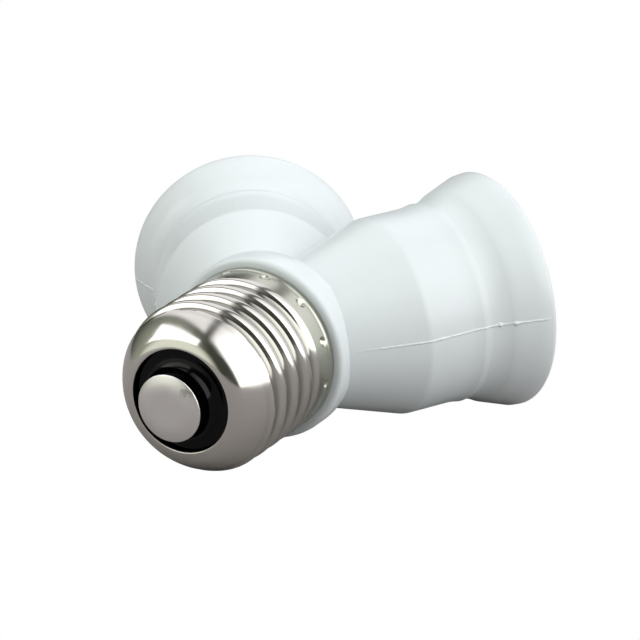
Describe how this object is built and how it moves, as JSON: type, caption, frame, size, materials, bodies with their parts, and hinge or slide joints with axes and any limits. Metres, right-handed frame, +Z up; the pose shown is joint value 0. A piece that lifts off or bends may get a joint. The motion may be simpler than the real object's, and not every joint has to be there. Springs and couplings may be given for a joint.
{
  "type": "lamp socket adapter",
  "caption": "Forked lamp socket adapter with a screw base at its foot and a flared screw socket for a bulb on each branch.",
  "frame": {"origin": "on the surface that the adapter lies on, under the middle of its box", "axes": "+Z up; +Y from the base contact towards the mouths, level; +X across the fork to the right branch seen from the base with the seam level"},
  "size_m": [0.0754, 0.073, 0.0373],
  "materials": {
    "housing": "cool white moulded plastic, softly glossy",
    "shell_metal": "bright nickel-coloured rolled sheet",
    "base_insulator": "glossy black moulding",
    "contact_metal": "satin nickel",
    "socket_metal": "rolled sheet",
    "carrier": "pale moulding",
    "tongue": "spring brass strip",
    "rivet": "tinned brass",
    "solder": "dull solder",
    "live_insulation": "insulated wire",
    "neutral_insulation": "insulated wire"
  },
  "bodies": {
    "adapter": {"upper_housing": "housing", "lower_housing": "housing", "base_shell": "shell_metal", "base_insulator": "base_insulator", "base_contact": "contact_metal", "live_solder": "solder", "neutral_solder": "solder", "right_screw_shell": "socket_metal", "right_contact_carrier": "carrier", "right_tongue_rivet": "rivet", "right_shell_rivets": "rivet", "right_live_wire": "live_insulation", "right_neutral_wire": "neutral_insulation", "left_screw_shell": "socket_metal", "left_contact_carrier": "carrier", "left_tongue_rivet": "rivet", "left_shell_rivets": "rivet", "left_live_wire": "live_insulation", "left_neutral_wire": "neutral_insulation"},
    "right_tongue": {"right_contact_tongue": "tongue"},
    "left_tongue": {"left_contact_tongue": "tongue"}
  },
  "joints": [
    {"name": "right_tongue_bend", "type": "hinge", "parent": "adapter", "child": "right_tongue", "pos_m": [0.0051, 0.00544, 0.0165], "axis": [0, 0.108, -0.9941], "range_deg": [0, 12], "stiffness_Nm_per_rad": 0.08, "deforming": ["right_contact_tongue"]},
    {"name": "left_tongue_bend", "type": "hinge", "parent": "adapter", "child": "left_tongue", "pos_m": [-0.0051, 0.00544, 0.0165], "axis": [0, -0.108, 0.9941], "range_deg": [0, 12], "stiffness_Nm_per_rad": 0.08, "deforming": ["left_contact_tongue"]}
  ]
}
